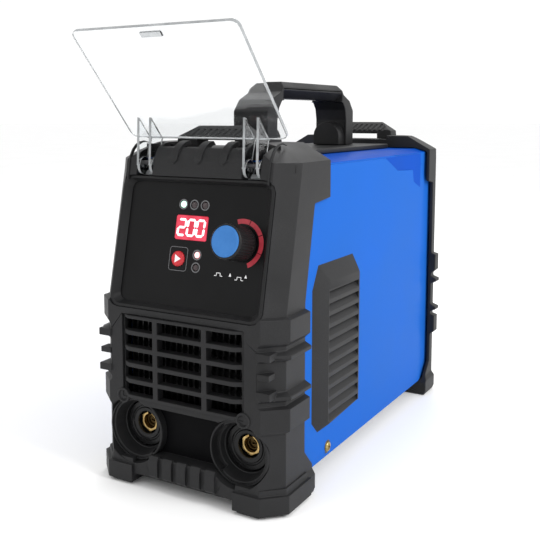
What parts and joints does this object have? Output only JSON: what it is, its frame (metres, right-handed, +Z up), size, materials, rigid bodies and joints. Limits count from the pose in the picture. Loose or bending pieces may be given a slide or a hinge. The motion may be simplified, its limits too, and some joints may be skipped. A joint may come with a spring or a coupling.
{
  "type": "stick welding inverter",
  "caption": "Portable stick welding inverter: a steel case between moulded end bezels, with a carrying handle, a control panel under a clear flip cover, output sockets and a cooling fan.",
  "frame": {"origin": "middle of the bounding box's bottom face, so at floor level under the machine", "axes": "+Z up, +Y from the control panel to the rear, +X to the right of someone facing the panel"},
  "size_m": [0.163, 0.3854, 0.33],
  "materials": {
    "black_abs": "fine moulded grain, semi-matt",
    "panel_film": "smooth satin film",
    "blue_paint": "powder coat, semi-gloss",
    "blue_abs": "satin moulded plastic",
    "clear_polycarbonate": "clear and polished",
    "red_display": "red tinted window, lit from behind",
    "red_key": "satin",
    "lit_lamp_green": "clear lens, lit",
    "lit_lamp_red": "clear lens, lit",
    "unlit_lamp": "smoked lens, unlit",
    "brass": "machined",
    "zinc_steel": "zinc plated",
    "yellow_zinc": "yellow zinc plated",
    "copper": "enamelled or bare copper",
    "aluminium": "extruded, bare",
    "circuit_board": "solder mask",
    "ferrite": "dull sintered",
    "capacitor_sleeve": "shrink sleeve",
    "fan_plastic": "smooth moulded"
  },
  "bodies": {
    "machine": {"base_pan": "zinc_steel", "board_standoff_1": "zinc_steel", "board_standoff_2": "zinc_steel", "board_standoff_3": "zinc_steel", "board_standoff_4": "zinc_steel", "bus_bar_left": "copper", "bus_bar_right": "copper", "cable_gland": "black_abs", "capacitor_1": "capacitor_sleeve", "capacitor_2": "capacitor_sleeve", "capacitor_3": "capacitor_sleeve", "case_screw_left": "yellow_zinc", "case_screw_right": "yellow_zinc", "case_shell": "blue_paint", "control_board": "circuit_board", "control_panel": "panel_film", "display_window": "red_display", "encoder": "zinc_steel", "fan_frame": "fan_plastic", "front_bezel": "black_abs", "front_crest": "black_abs", "front_grille": "black_abs", "gland_nut": "black_abs", "handle": "black_abs", "handle_base": "black_abs", "handle_screw_front": "yellow_zinc", "handle_screw_rear": "yellow_zinc", "heatsink_left": "aluminium", "heatsink_right": "aluminium", "hinge_pin_left": "zinc_steel", "hinge_pin_right": "zinc_steel", "main_board": "circuit_board", "mode_lamp_1": "lit_lamp_red", "mode_lamp_2": "unlit_lamp", "output_choke": "copper", "power_switch": "black_abs", "rear_bezel": "black_abs", "rear_crest": "black_abs", "rear_grille": "black_abs", "side_vent_left": "black_abs", "side_vent_right": "black_abs", "socket_flange_left": "black_abs", "socket_flange_right": "black_abs", "socket_insert_left": "brass", "socket_insert_right": "brass", "status_lamp_1": "lit_lamp_green", "status_lamp_2": "unlit_lamp", "status_lamp_3": "unlit_lamp", "transformer_core": "ferrite", "transformer_winding": "copper"},
    "knob": {"control_knob": "black_abs", "knob_cap": "blue_abs", "encoder_shaft": "zinc_steel"},
    "cover": {"flip_cover": "clear_polycarbonate"},
    "mode_key": {"mode_button": "red_key"},
    "fan": {"fan_rotor": "fan_plastic"},
    "rocker": {"power_rocker": "red_key"}
  },
  "joints": [
    {"name": "cover_hinge", "type": "hinge", "parent": "machine", "child": "cover", "pos_m": [0, -0.13662, 0.237], "axis": [1, 0, 0], "range_deg": [0, 125.5]},
    {"name": "knob_turn", "type": "hinge", "parent": "machine", "child": "knob", "pos_m": [0.04, -0.15088, 0.18533], "axis": [0, 0.9767, -0.2147], "continuous": true},
    {"name": "mode_key_press", "type": "slide", "parent": "machine", "child": "mode_key", "axis": [0, 0.9767, -0.2147], "range_m": [0, 0.0008], "stiffness_N_per_m": 1500, "springref_m": -0.0008},
    {"name": "fan_spin", "type": "hinge", "parent": "machine", "child": "fan", "pos_m": [0, 0.15738, 0.158], "axis": [0, 1, 0], "continuous": true},
    {"name": "rocker_tilt", "type": "hinge", "parent": "machine", "child": "rocker", "pos_m": [0.03, 0.17068, 0.062], "axis": [1, 0, 0], "range_deg": [-20, 0]}
  ]
}
